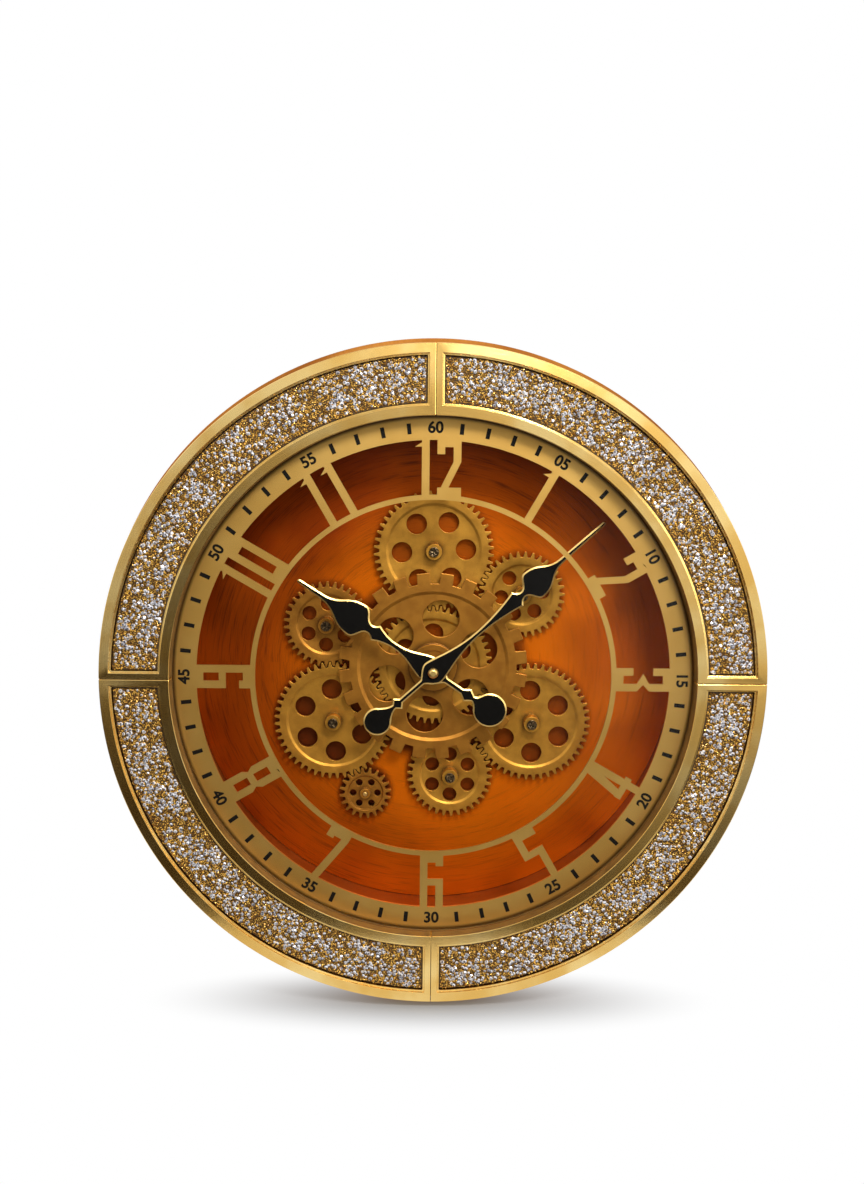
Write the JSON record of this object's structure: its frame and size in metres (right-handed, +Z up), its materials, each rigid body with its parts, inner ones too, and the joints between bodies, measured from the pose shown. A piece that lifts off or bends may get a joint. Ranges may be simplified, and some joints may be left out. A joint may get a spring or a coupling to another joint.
{
  "type": "gear wall clock",
  "caption": "Round wall clock with a gold bezel of crystal-filled frames, a cut chapter ring with numerals, black hands and an open train of turning gears over a copper plate.",
  "frame": {"origin": "on the wall, at the centre of the back panel's rear face, on the axis of the hands", "axes": "+Z up, +X to the right as the dial is seen, +Y into the wall, so the dial looks along -Y"},
  "size_m": [0.6, 0.12, 0.6],
  "materials": {
    "gold": "gold plated, polished",
    "matt_gold": "matt gold lacquer on sheet metal",
    "brass": "antique brass, satin",
    "copper": "brushed copper under clear lacquer",
    "case_copper": "copper-brown lacquer",
    "crystal": "crushed clear and amber stones",
    "glass": "clear pane",
    "black": "black, with gold edges",
    "dark_steel": "blackened screw",
    "steel": "plain",
    "board": "black fibreboard",
    "plastic": "moulded",
    "red_plastic": "moulded",
    "cell": "plain sleeve"
  },
  "bodies": {
    "case": {"case_hoop": "case_copper", "back_panel": "board", "dial_drum": "gold", "hanger_plate": "steel", "back_screw_1": "dark_steel", "back_screw_2": "dark_steel", "back_screw_3": "dark_steel", "back_screw_4": "dark_steel", "bezel_upper_right": "gold", "bezel_lower_right": "gold", "bezel_lower_left": "gold", "bezel_upper_left": "gold", "crystals_upper_right": "crystal", "crystals_lower_right": "crystal", "crystals_lower_left": "crystal", "crystals_upper_left": "crystal", "cover_glass": "glass", "chapter_ring": "matt_gold", "copper_plate": "copper", "planet_post_top": "brass", "planet_post_left": "brass", "planet_post_right": "brass", "idler_post_top": "brass", "idler_post_left": "brass", "idler_post_right": "brass", "planet_screw_top": "dark_steel", "planet_screw_left": "dark_steel", "planet_screw_right": "dark_steel", "idler_screw_top": "dark_steel", "idler_screw_left": "dark_steel", "idler_screw_right": "dark_steel", "bridge_pillar_top": "brass", "bridge_pillar_left": "brass", "bridge_pillar_right": "brass", "bridge_plate": "brass", "gear_motor": "steel", "centre_tube": "brass", "movement_case": "plastic", "movement_cell": "cell", "battery_box": "plastic", "motor_cell_upper": "cell", "motor_cell_lower": "cell", "switch_body": "plastic"},
    "sun": {"sun_gear": "brass"},
    "planet_top": {"planet_gear_top": "brass"},
    "planet_left": {"planet_gear_left": "brass"},
    "planet_right": {"planet_gear_right": "brass"},
    "idler_top": {"idler_gear_top": "brass"},
    "idler_left": {"idler_gear_left": "brass"},
    "idler_right": {"idler_gear_right": "brass"},
    "pinion": {"drive_pinion": "brass", "motor_shaft": "gold"},
    "minute": {"minute_hand": "black", "minute_arbor": "steel", "hand_nut": "gold"},
    "hour": {"hour_hand": "black", "hour_pipe": "brass"},
    "knob": {"set_knob": "red_plastic"},
    "door": {"battery_door": "plastic"},
    "slider": {"switch_slider": "red_plastic"}
  },
  "joints": [
    {"name": "sun_spin", "type": "hinge", "parent": "case", "child": "sun", "pos_m": [0, 0, 0], "axis": [0, 1, 0], "continuous": true},
    {"name": "planet_top_spin", "type": "hinge", "parent": "case", "child": "planet_top", "pos_m": [0, 0, 0.108], "axis": [0, 1, 0], "continuous": true},
    {"name": "planet_left_spin", "type": "hinge", "parent": "case", "child": "planet_left", "pos_m": [-0.09353, 0, -0.054], "axis": [0, 1, 0], "continuous": true},
    {"name": "planet_right_spin", "type": "hinge", "parent": "case", "child": "planet_right", "pos_m": [0.09353, 0, -0.054], "axis": [0, 1, 0], "continuous": true},
    {"name": "idler_top_spin", "type": "hinge", "parent": "case", "child": "idler_top", "pos_m": [0.08294, 0, 0.06761], "axis": [0, 1, 0], "continuous": true},
    {"name": "idler_left_spin", "type": "hinge", "parent": "case", "child": "idler_left", "pos_m": [-0.10002, 0, 0.03802], "axis": [0, 1, 0], "continuous": true},
    {"name": "idler_right_spin", "type": "hinge", "parent": "case", "child": "idler_right", "pos_m": [0.01708, 0, -0.10563], "axis": [0, 1, 0], "continuous": true},
    {"name": "pinion_spin", "type": "hinge", "parent": "case", "child": "pinion", "pos_m": [-0.06339, 0, -0.12431], "axis": [0, 1, 0], "continuous": true},
    {"name": "minute_spin", "type": "hinge", "parent": "case", "child": "minute", "pos_m": [0, 0, 0], "axis": [0, 1, 0], "continuous": true},
    {"name": "hour_spin", "type": "hinge", "parent": "case", "child": "hour", "pos_m": [0, 0, 0], "axis": [0, 1, 0], "continuous": true},
    {"name": "knob_spin", "type": "hinge", "parent": "case", "child": "knob", "pos_m": [0.016, 0, -0.0155], "axis": [0, 1, 0], "continuous": true},
    {"name": "door_lift", "type": "slide", "parent": "case", "child": "door", "axis": [0, 1, 0], "range_m": [0, 0.03]},
    {"name": "switch_slide", "type": "slide", "parent": "case", "child": "slider", "axis": [1, 0, 0], "range_m": [0, 0.004]}
  ],
  "couplings": [
    {"joint": "planet_top_spin", "follows": "sun_spin", "ratio": -1},
    {"joint": "planet_left_spin", "follows": "sun_spin", "ratio": -1},
    {"joint": "planet_right_spin", "follows": "sun_spin", "ratio": -1},
    {"joint": "idler_top_spin", "follows": "sun_spin", "ratio": 1.4118},
    {"joint": "idler_left_spin", "follows": "sun_spin", "ratio": 1.4118},
    {"joint": "idler_right_spin", "follows": "sun_spin", "ratio": 1.4118},
    {"joint": "pinion_spin", "follows": "sun_spin", "ratio": 2.4},
    {"joint": "hour_spin", "follows": "minute_spin", "ratio": 0.083333},
    {"joint": "knob_spin", "follows": "minute_spin", "ratio": -1}
  ]
}
